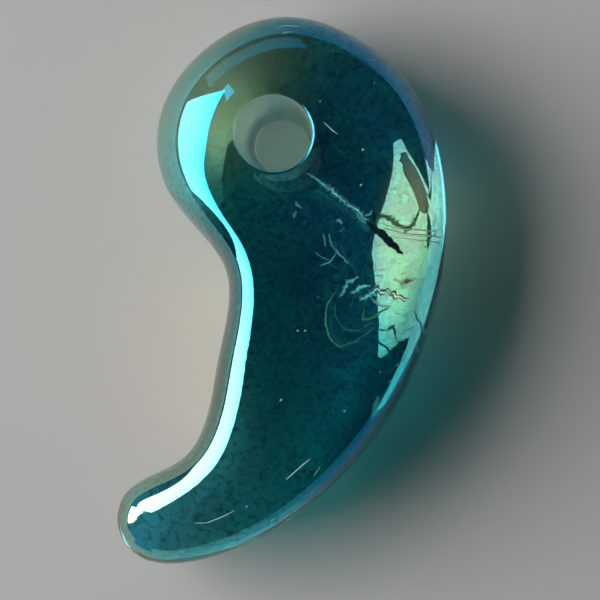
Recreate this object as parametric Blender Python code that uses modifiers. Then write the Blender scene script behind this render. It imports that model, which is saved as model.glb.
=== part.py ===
"""Comma-shaped bead (magatama): one solid piece of coated glass with a tapered cord hole.

The bead lies flat. Its outline is a comma drawn in the XY plane, with the round head towards +Y
and the hooked tail towards -Y. Both faces carry a flat land, and a shoulder runs from the land
to the widest line at half height. The shoulders are rounded, but beside the convex back the
underside is ground to a gentle facet and a steep bevel. The tail is thinner than the head.

Frame: +Z up, origin on the supporting surface under the middle of the outline's box, metres.
"""

import math

import bmesh
import bpy
import numpy as np

MM = 0.001

# Driving dimensions
LENGTH = 30.0 * MM
THICKNESS = 9.0 * MM
TAIL_THICKNESS = 4.6 * MM
TAILWARD = (-0.5, -0.866)  # the bead gets thinner in this direction, between these two places
TAPER_START = 1.0 * MM
TAPER_END = 15.8 * MM
HOLE_AT = (-0.2 * MM, 8.2 * MM)
HOLE_UPPER_RADIUS = 2.05 * MM  # the hole was drilled from the upper face with a tapered drill
HOLE_LOWER_RADIUS = 1.55 * MM
HOLE_CHAMFER = 0.18 * MM
LAND_EXPONENT = 2.2  # above 2, the shoulder leaves the flat land with no step in curvature
FACET_SLOPE = 0.22  # rise over run of the gentle facet beside the underside's land
BEVEL_SLOPE = 0.93  # and of the steep bevel between that facet and the side wall
WALL_WIDTH = 0.2 * MM

# The outline, clockwise from the crown of the head. Each row gives x, y, the width of the upper
# shoulder, the width of the lower shoulder, the width of the ground bevel within it, all in mm,
# and how much of the lower shoulder is ground instead of rounded, from 0 to 1. The first eleven
# rows run down the convex back, the twelfth is the tail tip, and the rest come back up the
# hollow side to the head.
OUTLINE = (
    (0.3, 15.0, 4.0, 4.0, 4.0, 0.0),
    (4.0, 13.9, 3.4, 2.4, 1.4, 0.2),
    (7.3, 10.9, 2.6, 2.2, 1.4, 1.0),
    (8.8, 6.8, 2.2, 2.8, 1.2, 1.0),
    (9.0, 2.3, 2.0, 4.1, 1.5, 1.0),
    (8.62, -0.39, 2.0, 4.2, 1.6, 0.25),
    (7.9, -3.0, 2.0, 3.2, 3.2, 0.0),
    (4.9, -8.5, 2.0, 2.4, 2.4, 0.0),
    (0.7, -12.5, 1.9, 2.2, 1.5, 0.0),
    (-3.8, -14.7, 1.9, 2.2, 1.5, 0.0),
    (-8.2, -14.4, 1.6, 1.8, 1.5, 0.0),
    (-9.0, -12.8, 1.5, 1.6, 1.5, 0.0),
    (-8.7, -11.4, 2.2, 1.6, 1.5, 0.0),
    (-5.2, -9.1, 2.2, 1.6, 1.5, 0.0),
    (-4.1, -7.1, 2.2, 1.6, 1.5, 0.0),
    (-3.4, -3.7, 2.2, 1.6, 1.5, 0.0),
    (-3.1, 1.2, 2.0, 1.6, 1.5, 0.0),
    (-4.3, 2.9, 2.2, 2.2, 1.5, 0.0),
    (-6.4, 5.7, 3.6, 3.6, 1.5, 0.0),
    (-6.8, 9.1, 4.3, 4.3, 1.5, 0.0),
    (-4.7, 12.8, 4.2, 4.2, 1.5, 0.0),
)
TAIL_TIP_ROW = 11

# Fineness of the solid
SIDE_STEPS = 60  # stations from the crown to the tail tip, along each side
SHOULDER_STEPS = 8  # rings from the widest line to the land
HOLE_STEPS = 40


def closed_spline(rows, stations):
    """Values at the given stations of the smooth closed curve through the rows.

    A station is a row number with a fraction. The curve is the periodic cubic spline whose
    parameter is the chord length, so its curvature has no steps.
    """
    rows = np.array(rows)
    count = len(rows)
    after = np.roll(rows, -1, axis=0)
    span = np.hypot(*(after - rows)[:, :2].T)
    climb = (after - rows) / span[:, None]
    span_before = np.roll(span, 1)
    system = np.zeros((count, count))
    for i in range(count):
        system[i, i - 1] = span[i]
        system[i, i] = 2 * (span[i] + span_before[i])
        system[i, (i + 1) % count] = span_before[i]
    right_side = 3 * (span[:, None] * np.roll(climb, 1, axis=0) + span_before[:, None] * climb)
    slope = np.linalg.solve(system, right_side)

    whole = np.floor(stations).astype(int)
    t = (stations - whole)[:, None]
    i = whole % count
    j = (i + 1) % count
    h = span[i][:, None]
    return (
        rows[i] * (1 + 2 * t) * (1 - t) ** 2
        + rows[j] * t**2 * (3 - 2 * t)
        + slope[i] * h * t * (1 - t) ** 2
        - slope[j] * h * t**2 * (1 - t)
    )


def even_stations(rows, first, last, steps):
    """Station numbers that split the curve from row first to row last into equal lengths."""
    fine = np.linspace(first, last, 40 * (last - first) + 1)
    path = closed_spline(rows, fine)[:, :2]
    travelled = np.concatenate([[0], np.cumsum(np.hypot(*np.diff(path, axis=0).T))])
    return np.interp(np.linspace(0, travelled[-1], steps, endpoint=False), travelled, fine)


def outline_of_bead():
    """Points, inward normals, widths and ground shares, clockwise from the crown."""
    stations = np.concatenate(
        [
            even_stations(OUTLINE, 0, TAIL_TIP_ROW, SIDE_STEPS),
            even_stations(OUTLINE, TAIL_TIP_ROW, len(OUTLINE), SIDE_STEPS),
        ]
    )
    drawn = closed_spline(OUTLINE, stations)
    points, widths = drawn[:, :2] * MM, drawn[:, 2:5] * MM
    ground = np.clip(drawn[:, 5], 0, 1)
    middle = (points.min(axis=0) + points.max(axis=0)) / 2
    scale = LENGTH / np.ptp(points[:, 1])
    along = np.roll(points, -1, axis=0) - np.roll(points, 1, axis=0)
    along /= np.hypot(*along.T)[:, None]
    inward = np.column_stack([along[:, 1], -along[:, 0]])
    return (points - middle) * scale, inward, widths, ground


def half_thickness(place):
    """Half thickness of the bead at each place: full over head and body, less along the tail."""
    taper = np.clip((place @ TAILWARD - TAPER_START) / (TAPER_END - TAPER_START), 0, 1)
    return (THICKNESS + (TAIL_THICKNESS - THICKNESS) * taper**2) / 2


def rounded_shoulder(out, width, half):
    """Height above mid height: out is 1 on the widest line and 0 at the land."""
    # A narrow shoulder keeps a more upright wall than a wide one.
    wall_exponent = LAND_EXPONENT * np.sqrt(half / width)
    return half * (1 - out**LAND_EXPONENT) ** (1 / wall_exponent)


def ground_shoulder(out, width, bevel, half):
    """Height above mid height of a shoulder made of a facet, a bevel and a low side wall."""
    inset = (1 - out) * width
    bevel = np.minimum(width, bevel)
    height = half - FACET_SLOPE * np.clip(width - inset, 0, width - bevel)
    height = height - BEVEL_SLOPE * np.clip(bevel - inset, 0, None)
    wall = np.clip(1 - inset / WALL_WIDTH, 0, 1)
    return height * (1 - wall**LAND_EXPONENT) ** (1 / LAND_EXPONENT)


def ring(outline, rise, side):
    """One closed ring on a shoulder: rise 0 is the widest line, and 1 the edge of the land."""
    points, inward, widths, ground = outline
    out = np.cos(rise * math.pi / 2) ** (2 / LAND_EXPONENT)
    width = widths[:, 0] if side > 0 else widths[:, 1]
    place = points + inward * (width * (1 - out))[:, None]
    half = half_thickness(place)
    height = rounded_shoulder(out, width, half)
    if side < 0:
        faceted = ground_shoulder(out, width, widths[:, 2], half)
        height = height * (1 - ground) + faceted * ground
    return np.column_stack([place, height])


def join_rings(mesh, lower, upper):
    for i in range(len(lower)):
        j = (i + 1) % len(lower)
        mesh.faces.new((lower[i], upper[i], upper[j], lower[j]))


def close_land(mesh, edge, facing_up):
    """Rungs from side to side across the land, from the crown to the tail tip."""
    count = len(edge)
    for i in range(count // 2):
        right, right_next = edge[i], edge[i + 1]
        left, left_next = edge[-i % count], edge[-(i + 1) % count]
        corners = [left, right, right_next, left_next]
        distinct = list(dict.fromkeys(corners))
        mesh.faces.new(distinct[::-1] if facing_up else distinct)


def make_bead(collection):
    outline = outline_of_bead()
    mid_height = THICKNESS / 2
    mesh = bmesh.new()

    def add_ring(rise, side):
        place = ring(outline, rise, side)
        place[:, 2] = mid_height + side * place[:, 2]
        return [mesh.verts.new(p) for p in place]

    widest = add_ring(0.0, 1)
    for side in (1, -1):
        lower = widest
        for step in range(1, SHOULDER_STEPS + 1):
            upper = add_ring(step / SHOULDER_STEPS, side)
            join_rings(mesh, lower, upper)
            lower = upper
        close_land(mesh, lower, facing_up=side > 0)
    bmesh.ops.recalc_face_normals(mesh, faces=mesh.faces)

    data = bpy.data.meshes.new("bead_body")
    mesh.to_mesh(data)
    mesh.free()
    data.shade_smooth()
    data.set_sharp_from_angle(angle=math.radians(35))
    bead = bpy.data.objects.new("bead_body", data)
    collection.objects.link(bead)
    return bead


def make_drill(collection):
    """The tapered cutter of the cord hole, flared at both faces for the chamfers."""
    over = 1.0 * MM
    flare = HOLE_CHAMFER + over
    profile = (
        (0, THICKNESS + over),
        (HOLE_UPPER_RADIUS + flare, THICKNESS + over),
        (HOLE_UPPER_RADIUS, THICKNESS - HOLE_CHAMFER),
        (HOLE_LOWER_RADIUS, HOLE_CHAMFER),
        (HOLE_LOWER_RADIUS + flare, -over),
        (0, -over),
    )
    data = bpy.data.meshes.new("hole_cutter")
    edges = [(i, i + 1) for i in range(len(profile) - 1)]
    data.from_pydata([(x, 0, z) for x, z in profile], edges, [])
    drill = bpy.data.objects.new("hole_cutter", data)
    drill.location = (*HOLE_AT, 0)
    turn = drill.modifiers.new("turn", "SCREW")
    turn.steps = HOLE_STEPS
    turn.render_steps = HOLE_STEPS
    turn.use_merge_vertices = True
    turn.merge_threshold = 0.00001
    drill.hide_render = True
    drill.display_type = "WIRE"
    collection.objects.link(drill)
    return drill


def coated_glass():
    material = bpy.data.materials.new("coated_teal_glass")
    material.use_nodes = True
    shader = material.node_tree.nodes["Principled BSDF"]
    shader.inputs["Base Color"].default_value = (0.01, 0.16, 0.19, 1)
    shader.inputs["Roughness"].default_value = 0.04
    shader.inputs["Metallic"].default_value = 0.0
    shader.inputs["IOR"].default_value = 1.54
    shader.inputs["Transmission Weight"].default_value = 0.6
    return material


def main():
    for obj in list(bpy.data.objects):
        bpy.data.objects.remove(obj)
    parts = bpy.data.collections.new("comma_bead")
    cutters = bpy.data.collections.new("cutters")
    for collection in (parts, cutters):
        bpy.context.scene.collection.children.link(collection)

    bead = make_bead(parts)
    bead.data.materials.append(coated_glass())
    drilled = bead.modifiers.new("cord_hole", "BOOLEAN")
    drilled.operation = "DIFFERENCE"
    drilled.object = make_drill(cutters)


main()
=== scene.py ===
"""Looks of the comma-shaped bead: coated teal glass on a pale floor, lit by a window at the left."""

import math
from collections import namedtuple

import bpy
import numpy as np
from mathutils import Matrix, Vector, geometry, noise


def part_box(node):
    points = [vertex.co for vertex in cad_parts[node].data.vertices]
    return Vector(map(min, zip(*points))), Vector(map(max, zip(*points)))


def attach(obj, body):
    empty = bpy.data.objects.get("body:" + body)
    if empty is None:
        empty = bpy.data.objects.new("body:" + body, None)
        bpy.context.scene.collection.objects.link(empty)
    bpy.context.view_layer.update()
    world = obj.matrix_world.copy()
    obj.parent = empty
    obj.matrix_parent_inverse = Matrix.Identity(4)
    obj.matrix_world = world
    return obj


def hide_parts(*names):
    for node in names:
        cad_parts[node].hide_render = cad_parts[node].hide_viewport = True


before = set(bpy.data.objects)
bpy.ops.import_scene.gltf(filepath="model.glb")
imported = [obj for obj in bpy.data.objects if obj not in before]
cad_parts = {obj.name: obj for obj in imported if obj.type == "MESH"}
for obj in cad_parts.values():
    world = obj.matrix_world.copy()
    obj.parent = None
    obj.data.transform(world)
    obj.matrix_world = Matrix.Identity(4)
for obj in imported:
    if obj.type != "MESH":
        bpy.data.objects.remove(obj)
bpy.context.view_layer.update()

MM = 0.001

# ---------------------------------------------------------------------------------------------
# Form of the bead. The outline and the hole repeat part.py; lengths are scaled to the CAD box.
# ---------------------------------------------------------------------------------------------
BEAD_LOW, BEAD_HIGH = (Vector(corner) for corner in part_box("bead_body"))
LENGTH = BEAD_HIGH.y - BEAD_LOW.y
THICKNESS = BEAD_HIGH.z - BEAD_LOW.z
MID_HEIGHT = (BEAD_HIGH.z + BEAD_LOW.z) / 2
TAIL_THICKNESS = THICKNESS * 4.6 / 9.0
TAILWARD = (-0.5, -0.866)
TAPER_START = 1.0 * MM
TAPER_END = 15.8 * MM
HOLE_AT = Vector((-0.2 * MM, 8.2 * MM))
HOLE_UPPER_RADIUS = 2.05 * MM
HOLE_LOWER_RADIUS = 1.55 * MM
HOLE_LIP = 0.18 * MM
LAND_EXPONENT = 2.2
FACET_SLOPE = 0.22
BEVEL_SLOPE = 0.93
WALL_WIDTH = 0.2 * MM
# Rows go clockwise from the crown: x and y of the widest line, widths of the upper shoulder, the
# lower shoulder and its bevel, all in mm, and how far the lower shoulder is ground, from 0 to 1.
OUTLINE = (
    (0.3, 15.0, 4.0, 4.0, 4.0, 0.0),
    (4.0, 13.9, 3.4, 2.4, 1.4, 0.2),
    (7.3, 10.9, 2.6, 2.2, 1.4, 1.0),
    (8.8, 6.8, 2.2, 2.8, 1.2, 1.0),
    (9.0, 2.3, 2.0, 4.1, 1.5, 1.0),
    (8.62, -0.39, 2.0, 4.2, 1.6, 0.25),
    (7.9, -3.0, 2.0, 3.2, 3.2, 0.0),
    (4.9, -8.5, 2.0, 2.4, 2.4, 0.0),
    (0.7, -12.5, 1.9, 2.2, 1.5, 0.0),
    (-3.8, -14.7, 1.9, 2.2, 1.5, 0.0),
    (-8.2, -14.4, 1.6, 1.8, 1.5, 0.0),
    (-9.0, -12.8, 1.5, 1.6, 1.5, 0.0),
    (-8.7, -11.4, 2.2, 1.6, 1.5, 0.0),
    (-5.2, -9.1, 2.2, 1.6, 1.5, 0.0),
    (-4.1, -7.1, 2.2, 1.6, 1.5, 0.0),
    (-3.4, -3.7, 2.2, 1.6, 1.5, 0.0),
    (-3.1, 1.2, 2.0, 1.6, 1.5, 0.0),
    (-4.3, 2.9, 2.2, 2.2, 1.5, 0.0),
    (-6.4, 5.7, 3.6, 3.6, 1.5, 0.0),
    (-6.8, 9.1, 4.3, 4.3, 1.5, 0.0),
    (-4.7, 12.8, 4.2, 4.2, 1.5, 0.0),
)
TAIL_TIP_ROW = 11
SIDE_STEPS = 170
STEPS_PER_ROW = 40  # how finely the curve is measured to space its points evenly
SHOULDER_STEPS = 34
UPPER_REACH = 0.88  # how much of each shoulder the rings cover; a fine net covers the rest
LOWER_REACH = 0.6
HOLE_SIDES = 96
LIP_STEPS = 4
WALL_STEPS = 14
LAND_SPACING = 0.26 * MM
LAND_MARGIN = 0.6 * LAND_SPACING  # the net's own points stay this far from its edges
SAME_POINT = 1e-9
POLISH_DEPTH = 0.05 * MM  # how far the hand polishing dips below the CAD faces
POLISH_WAVES = 230  # unevenness per metre
POLISH_GAIN = 1.6
POLISH_START = Vector((3.1, 7.7, 1.9))

Outline = namedtuple("Outline", "points inward upper lower bevel ground")


def closed_spline(rows, stations):
    """Values at the given stations of the smooth closed curve through the rows."""
    rows = np.array(rows)
    count = len(rows)
    after = np.roll(rows, -1, axis=0)
    span = np.hypot(*(after - rows)[:, :2].T)
    climb = (after - rows) / span[:, None]
    span_before = np.roll(span, 1)
    system = np.zeros((count, count))
    for i in range(count):
        system[i, i - 1] = span[i]
        system[i, i] = 2 * (span[i] + span_before[i])
        system[i, (i + 1) % count] = span_before[i]
    right_side = 3 * (span[:, None] * np.roll(climb, 1, axis=0) + span_before[:, None] * climb)
    slope = np.linalg.solve(system, right_side)

    whole = np.floor(stations).astype(int)
    t = (stations - whole)[:, None]
    i = whole % count
    j = (i + 1) % count
    h = span[i][:, None]
    return (
        rows[i] * (1 + 2 * t) * (1 - t) ** 2
        + rows[j] * t**2 * (3 - 2 * t)
        + slope[i] * h * t * (1 - t) ** 2
        - slope[j] * h * t**2 * (1 - t)
    )


def even_stations(rows, first, last, steps):
    """Station numbers that split the curve from row first to row last into equal lengths."""
    fine = np.linspace(first, last, STEPS_PER_ROW * (last - first) + 1)
    path = closed_spline(rows, fine)[:, :2]
    travelled = np.concatenate([[0], np.cumsum(np.hypot(*np.diff(path, axis=0).T))])
    return np.interp(np.linspace(0, travelled[-1], steps, endpoint=False), travelled, fine)


def outline_of_bead():
    """The widest line with its inward normals and shoulders, clockwise from the crown."""
    stations = np.concatenate(
        [
            even_stations(OUTLINE, 0, TAIL_TIP_ROW, SIDE_STEPS),
            even_stations(OUTLINE, TAIL_TIP_ROW, len(OUTLINE), SIDE_STEPS),
        ]
    )
    drawn = closed_spline(OUTLINE, stations)
    points = drawn[:, :2] * MM
    upper, lower, bevel = drawn[:, 2:5].T * MM
    ground = np.clip(drawn[:, 5], 0, 1)
    middle = (points.min(axis=0) + points.max(axis=0)) / 2
    scale = LENGTH / np.ptp(points[:, 1])
    along = np.roll(points, -1, axis=0) - np.roll(points, 1, axis=0)
    along /= np.hypot(*along.T)[:, None]
    inward = np.column_stack([along[:, 1], -along[:, 0]])
    return Outline((points - middle) * scale, inward, upper, lower, bevel, ground)


def half_thickness(place):
    """Half thickness of the bead at each place: full over head and body, less along the tail."""
    taper = np.clip((place @ TAILWARD - TAPER_START) / (TAPER_END - TAPER_START), 0, 1)
    return (THICKNESS + (TAIL_THICKNESS - THICKNESS) * taper**2) / 2


def rounded_shoulder(out, width, half):
    """Height of a rounded shoulder: out is 1 on the widest line and 0 at the land."""
    wall_exponent = LAND_EXPONENT * np.sqrt(half / width)
    return half * (1 - out**LAND_EXPONENT) ** (1 / wall_exponent)


def ground_shoulder(out, width, bevel, half):
    """Height of a shoulder that is ground: a gentle facet, a steep bevel and a short wall."""
    inset = (1 - out) * width
    bevel = np.minimum(width, bevel)
    height = half - FACET_SLOPE * np.clip(width - inset, 0, width - bevel)
    height = height - BEVEL_SLOPE * np.clip(bevel - inset, 0, None)
    edge = np.clip(1 - inset / WALL_WIDTH, 0, 1)
    return height * (1 - edge**LAND_EXPONENT) ** (1 / LAND_EXPONENT)


def shoulder_height(outline, rows, side, out, width, half):
    """Height above mid height on a shoulder, beside the given rows of the outline."""
    rounded = rounded_shoulder(out, width, half)
    if side > 0:
        return rounded
    ground = ground_shoulder(out, width, outline.bevel[rows], half)
    return rounded + (ground - rounded) * outline.ground[rows]


def ring(outline, rise, side):
    """One closed ring on a shoulder: rise 0 is the widest line, and 1 the edge of the land."""
    width = outline.upper if side > 0 else outline.lower
    out = np.cos(rise * math.pi / 2) ** (2 / LAND_EXPONENT)
    place = outline.points + outline.inward * (width * (1 - out))[:, None]
    height = shoulder_height(outline, slice(None), side, out, width, half_thickness(place))
    return np.column_stack([place, height])


def face_height(place, outline, side):
    """Height of a face above mid height, at places well inside the outline."""
    width = outline.upper if side > 0 else outline.lower
    start = outline.points
    along = np.roll(start, -1, axis=0) - start
    from_start = place[:, None, :] - start
    share = np.clip((from_start * along).sum(axis=2) / (along**2).sum(axis=1), 0, 1)
    apart = np.linalg.norm(from_start - share[..., None] * along, axis=2)
    width = width * (1 - share) + np.roll(width, -1) * share
    out = np.clip(1 - apart / width, 0, 1)
    near = out.argmax(axis=1)
    pick = (np.arange(len(place)), near)
    return shoulder_height(outline, near, side, out[pick], width[pick], half_thickness(place))


def circle(radius):
    """Points of a circle round the hole's axis."""
    turn = np.arange(HOLE_SIDES) * 2 * math.pi / HOLE_SIDES
    x = HOLE_AT.x + radius * np.cos(turn)
    y = HOLE_AT.y + radius * np.sin(turn)
    return np.column_stack([x, y])


def inside(points, loop):
    """Which points lie inside the closed loop."""
    x, y = points[:, 0][:, None], points[:, 1][:, None]
    x1, y1 = loop[:, 0], loop[:, 1]
    x2, y2 = np.roll(x1, -1), np.roll(y1, -1)
    with np.errstate(divide="ignore", invalid="ignore"):
        crossing = x1 + (y - y1) * (x2 - x1) / (y2 - y1)
    hits = ((y1 > y) != (y2 > y)) & (x < crossing)
    return hits.sum(axis=1) % 2 == 1


def clear_of(points, loop, gap):
    """Which points are further than the gap from every point of the loop."""
    apart = np.hypot(points[:, 0][:, None] - loop[:, 0], points[:, 1][:, None] - loop[:, 1])
    return apart.min(axis=1) > gap


def land_points(edge, rim):
    """An even triangular net of points between the shoulder's edge and the hole's rim."""
    low, high = edge.min(axis=0), edge.max(axis=0)
    rows = []
    for k, y in enumerate(np.arange(low[1], high[1], LAND_SPACING * math.sqrt(3) / 2)):
        x = np.arange(low[0] + (k % 2) * LAND_SPACING / 2, high[0], LAND_SPACING)
        rows.append(np.column_stack([x, np.full(len(x), y)]))
    net = np.concatenate(rows)
    net = net[inside(net, edge) & ~inside(net, rim)]
    return net[clear_of(net, edge, LAND_MARGIN) & clear_of(net, rim, LAND_MARGIN)]


def land_fill(edge, rim):
    """Points and triangles that fill a face between the shoulder's edge and the hole's rim."""
    net = land_points(edge, rim)
    corners = [Vector(p) for p in np.concatenate([edge[:, :2], rim[:, :2], net])]
    sides = [(i, (i + 1) % len(edge)) for i in range(len(edge))]
    sides += [(len(edge) + i, len(edge) + (i + 1) % len(rim)) for i in range(len(rim))]
    filled = geometry.delaunay_2d_cdt(corners, sides, [], 1, SAME_POINT)
    source = [entry[0] for entry in filled[3]]
    triangles = [[source[v] for v in triangle] for triangle in filled[2]]
    flat = np.array([tuple(p) for p in corners])
    in_hole = inside(flat[np.array(triangles)].mean(axis=1), rim)
    return net, [triangle for triangle, hole in zip(triangles, in_hole) if not hole]


def hole_profile():
    """The hole from its upper to its lower rim: radius, share of the way down, and set-back."""
    profile = []
    for step in range(1, LIP_STEPS + 1):
        turn = step / LIP_STEPS * math.pi / 2
        out = HOLE_LIP * (1 - math.sin(turn))
        profile.append((HOLE_UPPER_RADIUS + out, 0, HOLE_LIP * (1 - math.cos(turn))))
    for share in np.linspace(0, 1, WALL_STEPS + 1)[1:]:
        radius = HOLE_UPPER_RADIUS + (HOLE_LOWER_RADIUS - HOLE_UPPER_RADIUS) * share
        profile.append((radius, share, HOLE_LIP * (1 - 2 * share)))
    for step in range(1, LIP_STEPS):
        turn = step / LIP_STEPS * math.pi / 2
        out = HOLE_LIP * (1 - math.cos(turn))
        profile.append((HOLE_LOWER_RADIUS + out, 1, -HOLE_LIP * (1 - math.sin(turn))))
    return profile


def bead_surface(outline):
    """Vertices and faces of the bead: two shoulders, two lands and the wall of the hole."""
    places, faces = [], []

    def add(points):
        first = sum(len(p) for p in places)
        places.append(points)
        return list(range(first, first + len(points)))

    def join(lower, upper, flip):
        for i in range(len(lower)):
            j = (i + 1) % len(lower)
            face = (lower[i], upper[i], upper[j], lower[j])
            faces.append(face if not flip else face[::-1])

    widest = add(ring(outline, 0.0, 1) + (0, 0, MID_HEIGHT))
    rims, rim_heights = {}, {}
    for side, reach, hole_radius in (
        (1, UPPER_REACH, HOLE_UPPER_RADIUS),
        (-1, LOWER_REACH, HOLE_LOWER_RADIUS),
    ):
        lower = widest
        for step in range(1, SHOULDER_STEPS + 1):
            place = ring(outline, reach * step / SHOULDER_STEPS, side)
            place[:, 2] = MID_HEIGHT + side * place[:, 2]
            upper = add(place)
            join(lower, upper, side < 0)
            lower = upper
        rim = circle(hole_radius + HOLE_LIP)
        net, triangles = land_fill(place, rim)
        rim_heights[side] = MID_HEIGHT + side * face_height(rim, outline, side)
        rims[side] = add(np.column_stack([rim, rim_heights[side]]))
        inner = add(np.column_stack([net, MID_HEIGHT + side * face_height(net, outline, side)]))
        index = lower + rims[side] + inner
        for a, b, c in triangles:
            corner = (index[a], index[b], index[c])
            faces.append(corner if side > 0 else corner[::-1])

    lower = rims[1]
    for radius, share, drop in hole_profile():
        height = rim_heights[1] * (1 - share) + rim_heights[-1] * share - drop
        upper = add(np.column_stack([circle(radius), height]))
        join(lower, upper, True)
        lower = upper
    join(lower, rims[-1], True)
    return np.concatenate(places), faces


def polish(points):
    """Hand polishing leaves both faces very slightly uneven: dips below the CAD faces."""
    polished = points.copy()
    for k, (x, y, z) in enumerate(points):
        rise = (z - MID_HEIGHT) / (THICKNESS / 2)
        wave = POLISH_GAIN * noise.noise(Vector((x, y, 0.0)) * POLISH_WAVES + POLISH_START)
        dip = POLISH_DEPTH * (0.5 + 0.5 * max(-1.0, min(1.0, wave)))
        polished[k, 2] = z - dip * rise
    return polished


def mesh_object(name, points, faces):
    data = bpy.data.meshes.new(name)
    data.from_pydata([tuple(p) for p in points], [], faces)
    data.validate()
    data.shade_smooth()
    piece = bpy.data.objects.new(name, data)
    bpy.context.scene.collection.objects.link(piece)
    return piece


# ---------------------------------------------------------------------------------------------
# Materials
# ---------------------------------------------------------------------------------------------
GLASS_IOR = 1.54
POLISHED_ROUGHNESS = 0.02
FROSTED_ROUGHNESS = 0.6
FROSTED_TRANSMISSION = 0.85
DEPTH_COLOUR = (0.62, 0.54, 0.42, 1)
DEPTH_DENSITY = 25.0
FLOOR_COLOUR = (0.58, 0.58, 0.565, 1)
FLOOR_ROUGHNESS = 0.9

# The coating. Its thickness is in nm, against the distance from the tail tip in bead lengths.
FILM_IOR = 2.4
FILM_THICKNESS = ((0.0, 208.0), (0.08, 184.0), (0.2, 168.0), (0.45, 154.0), (0.65, 147.0), (1.0, 146.0))
FILM_BENEATH = 100.0
# How much thicker it is where the surface leans: against the upward share of its normal.
FILM_SPREAD = ((0.0, 1.3), (0.35, 1.22), (0.72, 1.06), (0.9, 1.02), (0.98, 0.98), (1.0, 0.8))
FILM_SPREAD_BACK = 0.93
TAIL_TIP = (-8.6 * MM, -13.2 * MM, MID_HEIGHT)
FILM_PATCH_SCALE = 160.0
FILM_PATCH_DETAIL = 3.0
FILM_PATCH_REACH = 5 * MM
BACK_NORMALS = (-0.4, 0.1)  # x of the normal, from the hollow side to the back
LAND_NORMALS = (0.80, 0.93)  # size of the normal's z, from a shoulder to a land
MIDDLE_HEIGHTS = (MID_HEIGHT - 0.5 * MM, MID_HEIGHT + 0.5 * MM)

# What the coating and the glass let through: the tail, the head, and then one tint over another, some
# of them painted light and shade.
TAIL_TINT = (0.14, 1.0, 1.0, 1)
HEAD_TINT = (0.11, 0.47, 0.73, 1)
HEAD_SHARES = (0.28, 0.62)  # the change from tail to head, in bead lengths from the tail tip
# Along a direction: where the tint starts, where it is full, how strong it is, and its colour.
# Painted light: the back rim is tinted a lighter teal, where light refracted through the shoulder
# shows.
BACK_RIM_PAINTED_LIGHT = ((0.8, -0.6, 0.0), 5.5 * MM, 8.0 * MM, 0.8, (0.06, 0.78, 0.90, 1))
# Painted light: the hollow side, which faces the window, is tinted lighter, as if lit through.
HOLLOW_SIDE_PAINTED_LIGHT = ((-1.0, -0.25, 0.0), -1.5 * MM, 1.5 * MM, 0.9, (0.08, 0.95, 1.0, 1))
# Painted shade: the waist's outer rim is tinted deep, where the floor beneath lies in the bead's own
# shadow.
WAIST_RIM_PAINTED_SHADE = ((0.91, -0.42, 0.0), 5.8 * MM, 7.0 * MM, 0.9, (0.004, 0.14, 0.19, 1))
# In a noise: its scale, detail, roughness and distortion, and then as above.
CLOUDS = (600.0, 10.0, 0.72, 0.8, 0.46, 0.62, 0.9, (0.10, 0.95, 1.0, 1))
MOTTLE = (3200.0, 3.0, 0.5, 0.0, 0.53, 0.61, 0.65, (0.01, 0.20, 0.29, 1))
# In an oval: its middle, its half width and half length, how strong it is, and its colour.
# Painted reflection: an olive sheen tinted onto the head's upper shoulder.
OLIVE_PAINTED_REFLECTION = ((-4.2 * MM, 11.8 * MM, 0), 6.2 * MM, 6.2 * MM, 0.8, (0.50, 0.82, 0.56, 1))
# Painted light: the facet where the window shows by an inner reflection is tinted pale yellow.
PALE_FACET_PAINTED_LIGHT = ((7.3 * MM, 2.0 * MM, 0), 2.3 * MM, 5.6 * MM, 1.0, (1.0, 1.0, 0.6, 1))
OVAL_EDGE = (0.6, 1.1)  # where an oval starts to fade and where it ends, in half widths
FROSTED_TINT = (0.92, 0.98, 1.0, 1)
FROSTED_EDGE = (0.02 * MM, 0.05 * MM)  # how far past the hole's radius the frosting fades out


def new_material(name):
    material = bpy.data.materials.new(name)
    material.use_nodes = True
    return material, material.node_tree, material.node_tree.nodes["Principled BSDF"]


def calculate(tree, operation, *values):
    """A Math node; each value is a number or an output of another node."""
    node = tree.nodes.new("ShaderNodeMath")
    node.operation = operation
    for socket, value in zip(node.inputs, values):
        if isinstance(value, (int, float)):
            socket.default_value = value
        else:
            tree.links.new(value, socket)
    return node.outputs["Value"]


def ramp(tree, value, from_low, from_high, to_low, to_high):
    """A Map Range node; the last two may be outputs of other nodes."""
    node = tree.nodes.new("ShaderNodeMapRange")
    tree.links.new(value, node.inputs["Value"])
    for name, level in (
        ("From Min", from_low),
        ("From Max", from_high),
        ("To Min", to_low),
        ("To Max", to_high),
    ):
        if isinstance(level, (int, float)):
            node.inputs[name].default_value = level
        else:
            tree.links.new(level, node.inputs[name])
    return node.outputs["Result"]


def vector_step(tree, operation, value, constant=None):
    """A Vector Math node on an output of another node and, for most operations, a constant."""
    node = tree.nodes.new("ShaderNodeVectorMath")
    node.operation = operation
    tree.links.new(value, node.inputs[0])
    if constant is not None:
        node.inputs[1].default_value = constant
    gives_number = operation in ("DISTANCE", "LENGTH", "DOT_PRODUCT")
    return node.outputs["Value" if gives_number else "Vector"]


def separate(tree, value, axis):
    """One coordinate of a vector output."""
    node = tree.nodes.new("ShaderNodeSeparateXYZ")
    tree.links.new(value, node.inputs[0])
    return node.outputs[axis]


def noise_value(tree, place, scale, detail, roughness=0.5, distortion=0.0):
    """A Noise Texture node; the scale is per metre."""
    node = tree.nodes.new("ShaderNodeTexNoise")
    node.inputs["Scale"].default_value = scale
    node.inputs["Detail"].default_value = detail
    node.inputs["Roughness"].default_value = roughness
    node.inputs["Distortion"].default_value = distortion
    tree.links.new(place, node.inputs["Vector"])
    return node.outputs["Fac"]


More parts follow.
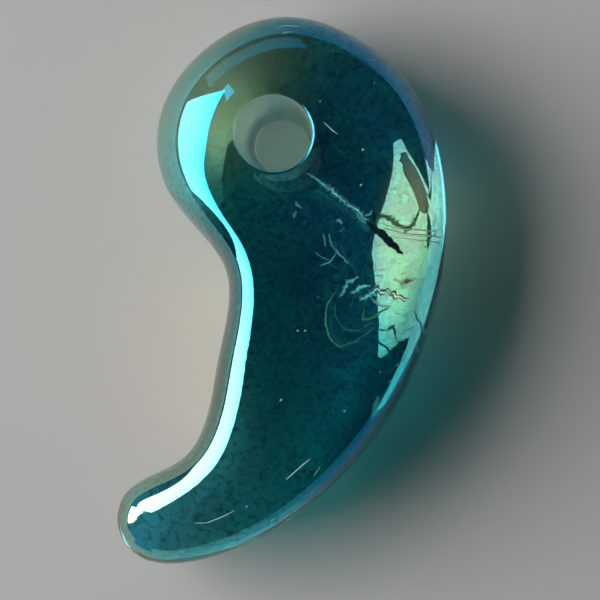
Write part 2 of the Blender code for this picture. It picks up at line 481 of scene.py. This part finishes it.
def blend_colour(tree, factor, start, end):
    """A colour Mix node; each colour is a constant or an output of another node."""
    node = tree.nodes.new("ShaderNodeMix")
    node.data_type = "RGBA"
    tree.links.new(factor, node.inputs["Factor"])
    for name, colour in (("A", start), ("B", end)):
        socket = next(i for i in node.inputs if i.name == name and i.type == "RGBA")
        if isinstance(colour, tuple):
            socket.default_value = colour
        else:
            tree.links.new(colour, socket)
    return next(o for o in node.outputs if o.type == "RGBA")


def curve_value(tree, value, points):
    """The value of a smooth curve through the points, which start at 0 and end at 1."""
    highest = max(level for _, level in points)
    node = tree.nodes.new("ShaderNodeFloatCurve")
    curve = node.mapping.curves[0]
    for at, level in points[1:-1]:
        curve.points.new(at, level / highest)
    curve.points[0].location = (0, points[0][1] / highest)
    curve.points[-1].location = (1, points[-1][1] / highest)
    node.mapping.update()
    tree.links.new(value, node.inputs["Value"])
    return calculate(tree, "MULTIPLY", node.outputs["Value"], highest)


def length_share(tree, place):
    """Distance from the tail tip in bead lengths, a little uneven so that no band is straight."""
    from_tip = vector_step(tree, "DISTANCE", place, TAIL_TIP)
    patches = noise_value(tree, place, FILM_PATCH_SCALE, FILM_PATCH_DETAIL)
    uneven = calculate(tree, "MULTIPLY_ADD", patches, FILM_PATCH_REACH, from_tip)
    return calculate(tree, "DIVIDE", uneven, LENGTH)


def film_thickness(tree, place, share):
    """Thickness of the coating in nm: it grows towards the tail and where the surface leans."""
    along = curve_value(tree, share, FILM_THICKNESS)
    normal = tree.nodes.new("ShaderNodeNewGeometry").outputs["Normal"]
    level = calculate(tree, "ABSOLUTE", separate(tree, normal, "Z"))
    backward = ramp(tree, separate(tree, normal, "X"), *BACK_NORMALS, 0.0, 1.0)
    spread = ramp(tree, backward, 0.0, 1.0, curve_value(tree, level, FILM_SPREAD), FILM_SPREAD_BACK)
    above = calculate(tree, "MULTIPLY", along, spread)
    # The flat underside has its own thickness.
    flatness = ramp(tree, level, *LAND_NORMALS, 0.0, 1.0)
    beneath = ramp(tree, separate(tree, place, "Z"), *MIDDLE_HEIGHTS, 1.0, 0.0)
    below = calculate(tree, "MULTIPLY", flatness, beneath)
    return ramp(tree, below, 0.0, 1.0, above, FILM_BENEATH)


def frosted_part(tree, place):
    """1 on the ground wall of the hole and 0 on the polished faces."""
    from_hole = vector_step(tree, "SUBTRACT", place, (HOLE_AT.x, HOLE_AT.y, 0))
    away = vector_step(tree, "LENGTH", vector_step(tree, "MULTIPLY", from_hole, (1, 1, 0)))
    inner, outer = (HOLE_UPPER_RADIUS + edge for edge in FROSTED_EDGE)
    return ramp(tree, away, inner, outer, 1.0, 0.0)


def tint_along(tree, place, colour, direction, start, full, amount, shade):
    """The colour with a tint that grows along a direction; here it paints light or shade."""
    reach = vector_step(tree, "DOT_PRODUCT", place, direction)
    return blend_colour(tree, ramp(tree, reach, start, full, 0.0, amount), colour, shade)


def tint_grain(tree, place, colour, scale, detail, roughness, distortion, start, full, amount, shade):
    """The colour with a tint where a noise is high."""
    grain = noise_value(tree, place, scale, detail, roughness, distortion)
    return blend_colour(tree, ramp(tree, grain, start, full, 0.0, amount), colour, shade)


def tint_oval(tree, place, colour, middle, width, length, amount, shade):
    """The colour with a tint in an upright oval, fading at its edge; here it paints a reflection or
    light.
    """
    from_middle = vector_step(tree, "SUBTRACT", place, middle)
    squashed = vector_step(tree, "MULTIPLY", from_middle, (1 / width, 1 / length, 0))
    radius = vector_step(tree, "LENGTH", squashed)
    return blend_colour(tree, ramp(tree, radius, *OVAL_EDGE, amount, 0.0), colour, shade)


def tint(tree, place, share, frosted):
    """The colour of the bead: deeper on the head, painted light on both sides, painted shade at the
    waist's rim, a painted olive reflection and a painted pale facet.
    """
    towards_head = ramp(tree, share, *HEAD_SHARES, 0.0, 1.0)
    colour = blend_colour(tree, towards_head, TAIL_TINT, HEAD_TINT)
    colour = tint_along(tree, place, colour, *BACK_RIM_PAINTED_LIGHT)
    colour = tint_along(tree, place, colour, *HOLLOW_SIDE_PAINTED_LIGHT)
    colour = tint_grain(tree, place, colour, *CLOUDS)
    colour = tint_grain(tree, place, colour, *MOTTLE)
    colour = tint_oval(tree, place, colour, *OLIVE_PAINTED_REFLECTION)
    colour = tint_oval(tree, place, colour, *PALE_FACET_PAINTED_LIGHT)
    colour = tint_along(tree, place, colour, *WAIST_RIM_PAINTED_SHADE)
    return blend_colour(tree, frosted, colour, FROSTED_TINT)


def coated_glass():
    """Teal glass with a thin interference film, and the frosted wall of the drilled hole."""
    material, tree, shader = new_material("coated_teal_glass")
    links = tree.links
    shader.inputs["IOR"].default_value = GLASS_IOR
    shader.inputs["Thin Film IOR"].default_value = FILM_IOR
    place = tree.nodes.new("ShaderNodeTexCoord").outputs["Object"]
    share = length_share(tree, place)
    frosted = frosted_part(tree, place)
    links.new(film_thickness(tree, place, share), shader.inputs["Thin Film Thickness"])
    for socket, on_faces, in_hole in (
        ("Roughness", POLISHED_ROUGHNESS, FROSTED_ROUGHNESS),
        ("Transmission Weight", 1.0, FROSTED_TRANSMISSION),
    ):
        links.new(ramp(tree, frosted, 0.0, 1.0, on_faces, in_hole), shader.inputs[socket])
    links.new(tint(tree, place, share, frosted), shader.inputs["Base Color"])

    depth = tree.nodes.new("ShaderNodeVolumeAbsorption")
    depth.inputs["Color"].default_value = DEPTH_COLOUR
    depth.inputs["Density"].default_value = DEPTH_DENSITY
    links.new(depth.outputs["Volume"], tree.nodes["Material Output"].inputs["Volume"])
    return material


def flaw_material(name, colour, roughness, metallic):
    material, _, shader = new_material(name)
    shader.inputs["Metallic"].default_value = metallic
    shader.inputs["Base Color"].default_value = colour
    shader.inputs["Roughness"].default_value = roughness
    return material


def plain_floor():
    material, _, shader = new_material("pale_floor")
    shader.inputs["Base Color"].default_value = FLOOR_COLOUR
    shader.inputs["Roughness"].default_value = FLOOR_ROUGHNESS
    return material


# ---------------------------------------------------------------------------------------------
# Flaws inside the bead and on its skin: closed slivers. Each row is a path and a width, in mm.
# ---------------------------------------------------------------------------------------------
CRACK_FEATHER = (
    (((1.5, 6.2), (2.1, 5.8), (2.7, 5.3)), 0.18),
    (((2.2, 5.8), (3.0, 5.1), (3.7, 4.5)), 0.37),
    (((3.3, 4.9), (4.1, 4.2), (4.9, 3.5)), 0.33),
    (((4.4, 3.8), (4.9, 3.9), (5.1, 4.2)), 0.13),
    (((4.2, 4.1), (4.3, 3.7), (4.8, 3.4)), 0.15),
)
CRACK_BLADE = (
    (((4.7, 3.5), (5.6, 2.8), (6.7, 1.7)), 0.42),
    (((5.1, 4.3), (5.15, 3.8), (5.2, 3.3)), 0.16),
)
FRACTURE_FRINGE = (
    (((3.3, -0.6), (3.7, 0.2), (4.4, 0.5)), 0.24),
    (((3.9, -0.4), (4.3, -0.1), (5.0, 0.1)), 0.29),
    (((4.4, -0.8), (5.2, -0.2), (6.1, -0.3)), 0.44),
    (((5.6, -0.1), (6.3, -0.5), (7.0, -0.7)), 0.29),
    (((5.0, -0.5), (5.4, -1.0), (6.0, -1.1)), 0.18),
    (((6.2, 0.4), (6.9, 0.1), (7.4, 0.5)), 0.11),
)
FRACTURE_BANDS = (
    (((5.3, 3.5), (6.6, 3.1), (8.4, 3.0)), 0.08),
    (((5.6, 3.2), (7.0, 2.8), (8.6, 2.7)), 0.11),
    (((6.2, 2.7), (7.4, 2.5), (8.5, 2.4)), 0.06),
)
FRACTURE_CONTOURS = (
    (
        ((3.1, 0.1), (2.5, -0.9), (2.4, -1.9), (2.7, -2.8), (3.2, -3.2), (4.0, -2.9), (5.2, -2.1)),
        0.13,
    ),
    (((3.0, -0.6), (2.9, -1.4), (3.4, -2.2), (4.2, -2.3), (5.2, -1.7)), 0.07),
    (((4.6, -1.0), (4.4, -1.7), (4.9, -1.6), (6.0, -0.9)), 0.16),
)
WISPS = (
    (((2.7, 2.9), (2.9, 2.2), (3.3, 1.7), (3.8, 1.2)), 0.14),
    (((2.4, 2.9), (2.5, 2.5), (2.6, 2.1)), 0.10),
    (((1.9, 1.9), (2.3, 1.6), (2.8, 1.4)), 0.06),
    (((2.2, 1.1), (2.8, 1.3), (3.2, 1.9)), 0.08),
    (((3.1, 3.6), (3.3, 3.5), (3.5, 3.4)), 0.21),
    (((0.9, 4.6), (1.1, 4.4), (1.3, 4.2)), 0.21),
    (((0.8, 3.7), (0.9, 3.9), (1.0, 4.1)), 0.18),
    (((3.2, 2.9), (3.4, 3.0), (3.6, 3.2)), 0.05),
)
# Each speck on the skin: x, y and size in mm.
SPECKS = (
    (4.6, 7.3, 0.15),
    (4.5, 5.4, 0.13),
    (6.3, 7.1, 0.10),
    (1.1, -2.4, 0.12),
    (1.5, -2.4, 0.12),
    (0.2, -6.1, 0.14),
    (3.6, -6.7, 0.12),
    (5.0, -7.6, 0.12),
    (-1.7, -11.8, 0.12),
    (5.2, 10.9, 0.12),
    (2.3, 9.9, 0.10),
    (7.9, 2.1, 0.10),
    (2.2, -0.6, 0.08),
    (5.5, -4.6, 0.09),
    (-0.4, -3.6, 0.07),
)
SKIN_MARKS = (
    ((0.4, -10.4), (1.1, -9.8), (1.8, -9.2)),
    ((1.9, -10.2), (2.3, -9.6)),
    ((2.5, 8.8), (2.9, 8.4), (3.3, 8.1)),
    ((-4.6, -12.7), (-3.9, -12.7), (-3.1, -12.4), (-2.3, -12.0)),
    ((5.9, -3.1), (6.4, -2.9), (6.9, -2.9)),
    ((6.7, -3.6), (7.0, -3.4)),
    ((6.3, -4.3), (6.5, -4.1)),
    ((5.9, -5.2), (6.1, -5.0)),
    ((6.8, -2.4), (7.3, -2.2)),
    ((4.9, 12.2), (5.4, 12.4)),
    ((-0.1, 14.0), (0.3, 14.2), (1.2, 14.1)),
    ((0.2, 13.7), (0.8, 13.8)),
)
SKIN_MARK_WIDTH = 0.07
SKIN_RAGGED = 0.4
FLAW_LEAN = 0.29  # rise per unit of +X that turns a flaw's face to the window
FLAW_SEED = 11
SLIVER_STEP = 0.1 * MM
SLIVER_FEWEST_STEPS = 6
SLIVER_THICKNESS = 0.3  # of the widest half width
LEANING_THICKNESS = 0.12  # the same, for a sliver that leans
WIDTH_WOBBLE = 0.6


def sliver_points(centre, aside, half, heights, lean):
    """A point at each end, and between them rings of four points: sides, top and bottom."""
    thick = half.max() * (LEANING_THICKNESS if lean else SLIVER_THICKNESS)
    points = [(*centre[0], heights[0])]
    for place, side, reach, height in zip(centre[1:-1], aside[1:-1], half[1:-1], heights[1:-1]):
        rise = lean * side[0] * reach
        points.append((*(place + side * reach), height + rise))
        points.append((*place, height + thick))
        points.append((*(place - side * reach), height - rise))
        points.append((*place, height - thick))
    points.append((*centre[-1], heights[-1]))
    return np.array(points)


def sliver_faces(rings):
    """Faces that join the rings of four points, closed to the first and the last point."""
    faces = []
    last_ring = 1 + 4 * (rings - 1)
    last_point = 1 + 4 * rings
    for k in range(4):
        j = (k + 1) % 4
        faces.append((0, 1 + j, 1 + k))
        for first in range(1, last_ring, 4):
            faces.append((first + k, first + j, first + 4 + j, first + 4 + k))
        faces.append((last_ring + k, last_ring + j, last_point))
    return faces


def sliver(path, width, height_at, ragged, draw, lean=0.0):
    """A flat closed sliver with pointed ends, at the heights that height_at says."""
    path = np.array(path) * MM
    travelled = np.concatenate([[0], np.cumsum(np.hypot(*np.diff(path, axis=0).T))])
    count = max(SLIVER_FEWEST_STEPS, int(travelled[-1] / SLIVER_STEP))
    share = np.linspace(0, 1, count + 1)
    centre = np.column_stack([np.interp(share * travelled[-1], travelled, c) for c in path.T])
    along = np.gradient(centre, axis=0)
    along /= np.hypot(*along.T)[:, None]
    aside = np.column_stack([-along[:, 1], along[:, 0]])
    wobble = draw.uniform(-1, 1, (count + 1, 2)) * ragged
    widest = width * MM / 2
    half = widest * np.sqrt(np.sin(math.pi * share)) * (1 + WIDTH_WOBBLE * wobble[:, 0])
    centre = centre + aside * (wobble[:, 1] * widest)[:, None]
    heights = height_at(centre) + lean * (centre[:, 0] - centre[:, 0].mean())
    return sliver_points(centre, aside, half, heights, lean), sliver_faces(count - 1)


def add_flaw(name, shells, material):
    """One piece made of several closed shells, riding with the bead."""
    points, faces = [], []
    for shell_points, shell_faces in shells:
        first = sum(len(p) for p in points)
        points.append(shell_points)
        faces += [tuple(first + v for v in face) for face in shell_faces]
    flaw = mesh_object(name, np.concatenate(points), faces)
    flaw.data.materials.append(material)
    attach(flaw, "root")


def at_depth(depth):
    """Heights of places inside the bead, all at one depth in mm from mid height."""
    return lambda places: np.full(len(places), MID_HEIGHT + depth * MM)


def on_skin(outline):
    """Heights of places on the polished upper face."""

    def height_at(places):
        level = MID_HEIGHT + face_height(places, outline, 1)
        return polish(np.column_stack([places, level]))[:, 2]

    return height_at


def add_flaws(outline):
    draw = np.random.default_rng(FLAW_SEED)
    chip = flaw_material("ground_chip", (0.40, 0.62, 0.62, 1), 0.6, 0.0)
    pale = flaw_material("pale_flaw", (1.0, 1.0, 1.0, 1), 0.3, 0.9)
    dark = flaw_material("open_crack", (0.004, 0.016, 0.018, 1), 0.35, 0.0)
    gilt = flaw_material("fracture_film", (0.80, 0.85, 0.50, 1), 0.42, 0.5)
    for name, table, depth, material, ragged, lean in (
        ("crack_feather", CRACK_FEATHER, 2.6, pale, 0.5, FLAW_LEAN),
        ("crack_blade", CRACK_BLADE, 3.0, dark, 0.25, 0.0),
        ("fracture_fringe", FRACTURE_FRINGE, 3.4, pale, 0.6, FLAW_LEAN),
        ("fracture_bands", FRACTURE_BANDS, 2.4, pale, 0.3, FLAW_LEAN),
        ("fracture_contours", FRACTURE_CONTOURS, -1.0, gilt, 0.5, 0.0),
        ("wisps", WISPS, 3.4, pale, 0.5, FLAW_LEAN),
    ):
        height_at = at_depth(depth)
        shells = [sliver(path, width, height_at, ragged, draw, lean) for path, width in table]
        add_flaw(name, shells, material)

    skin = on_skin(outline)
    shells = []
    for x, y, size in SPECKS:
        path = ((x - size / 2, y), (x + size / 2, y))
        shells.append(sliver(path, size, skin, SKIN_RAGGED, draw))
    add_flaw("specks", shells, chip)
    shells = [sliver(path, SKIN_MARK_WIDTH, skin, SKIN_RAGGED, draw) for path in SKIN_MARKS]
    add_flaw("skin_marks", shells, chip)


# ---------------------------------------------------------------------------------------------
# Stage, light and camera
# ---------------------------------------------------------------------------------------------
CAMERA_DISTANCE = 180 * MM
CAMERA_TILT = math.radians(4.0)
CAMERA_SIDE = math.radians(-38)  # the side it stands on, from +X towards +Y
LOOK_AT = Vector((0.975 * MM, -0.56 * MM, MID_HEIGHT))
VIEW_WIDTH = 32.918 * MM  # what the picture's width spans at the distance of LOOK_AT
SENSOR_WIDTH = 36.0
NEAREST_SEEN = 10 * MM
FLOOR_REACH = 0.6
FLOOR_DROP = 0.02 * MM
WORLD_COLOUR = (0.9, 0.95, 1.0, 1)
WORLD_STRENGTH = 0.02
PANEL_DISTANCE = 0.5
# Each light panel: name, azimuth and elevation in degrees, width and height in m, and power in W.
PANELS = (
    ("window", 174, 34, 0.46, 0.50, 3.45),
    ("skylight", 133, 58, 0.03, 0.14, 0.02),
    ("wall", 112, 22, 0.46, 0.20, 0.08),
)


def add_camera():
    data = bpy.data.cameras.new("camera")
    camera = bpy.data.objects.new("camera", data)
    bpy.context.scene.collection.objects.link(camera)
    side = Vector((math.cos(CAMERA_SIDE), math.sin(CAMERA_SIDE), 0)) * math.sin(CAMERA_TILT)
    back = side + Vector((0, 0, math.cos(CAMERA_TILT)))
    camera.location = LOOK_AT + back * CAMERA_DISTANCE
    right = Vector((0, 1, 0)).cross(back).normalized()
    up = back.cross(right)
    camera.rotation_euler = Matrix([right, up, back]).transposed().to_euler()
    data.sensor_width = SENSOR_WIDTH
    data.lens = SENSOR_WIDTH * CAMERA_DISTANCE / VIEW_WIDTH
    data.clip_start = NEAREST_SEEN
    bpy.context.scene.camera = camera


def towards(azimuth, elevation):
    """Unit vector to a place in the sky; both angles are in degrees."""
    azimuth, elevation = math.radians(azimuth), math.radians(elevation)
    flat = math.cos(elevation)
    return Vector((flat * math.cos(azimuth), flat * math.sin(azimuth), math.sin(elevation)))


def add_panel(name, azimuth, elevation, width, height, power):
    data = bpy.data.lights.new(name, "AREA")
    data.shape = "RECTANGLE"
    data.size = width
    data.size_y = height
    data.energy = power
    light = bpy.data.objects.new(name, data)
    bpy.context.scene.collection.objects.link(light)
    light.location = towards(azimuth, elevation) * PANEL_DISTANCE
    light.rotation_euler = (-light.location).to_track_quat("-Z", "Y").to_euler()
    light.visible_camera = False


def add_floor():
    data = bpy.data.meshes.new("floor")
    signs = ((-1, -1), (1, -1), (1, 1), (-1, 1))
    corners = [(x * FLOOR_REACH, y * FLOOR_REACH, -FLOOR_DROP) for x, y in signs]
    data.from_pydata(corners, [], [(0, 1, 2, 3)])
    floor = bpy.data.objects.new("floor", data)
    floor.data.materials.append(plain_floor())
    bpy.context.scene.collection.objects.link(floor)


def add_world():
    world = bpy.data.worlds.new("studio")
    world.use_nodes = True
    back = world.node_tree.nodes["Background"]
    back.inputs["Color"].default_value = WORLD_COLOUR
    back.inputs["Strength"].default_value = WORLD_STRENGTH
    bpy.context.scene.world = world


def add_bead(outline):
    points, faces = bead_surface(outline)
    bead = mesh_object("bead", polish(points), faces)
    bead.data.materials.append(coated_glass())
    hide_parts("bead_body")
    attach(bead, "root")


def main():
    add_camera()
    add_floor()
    add_world()
    for panel in PANELS:
        add_panel(*panel)
    outline = outline_of_bead()
    add_bead(outline)
    add_flaws(outline)
    bpy.context.scene.view_settings.view_transform = "Standard"


main()
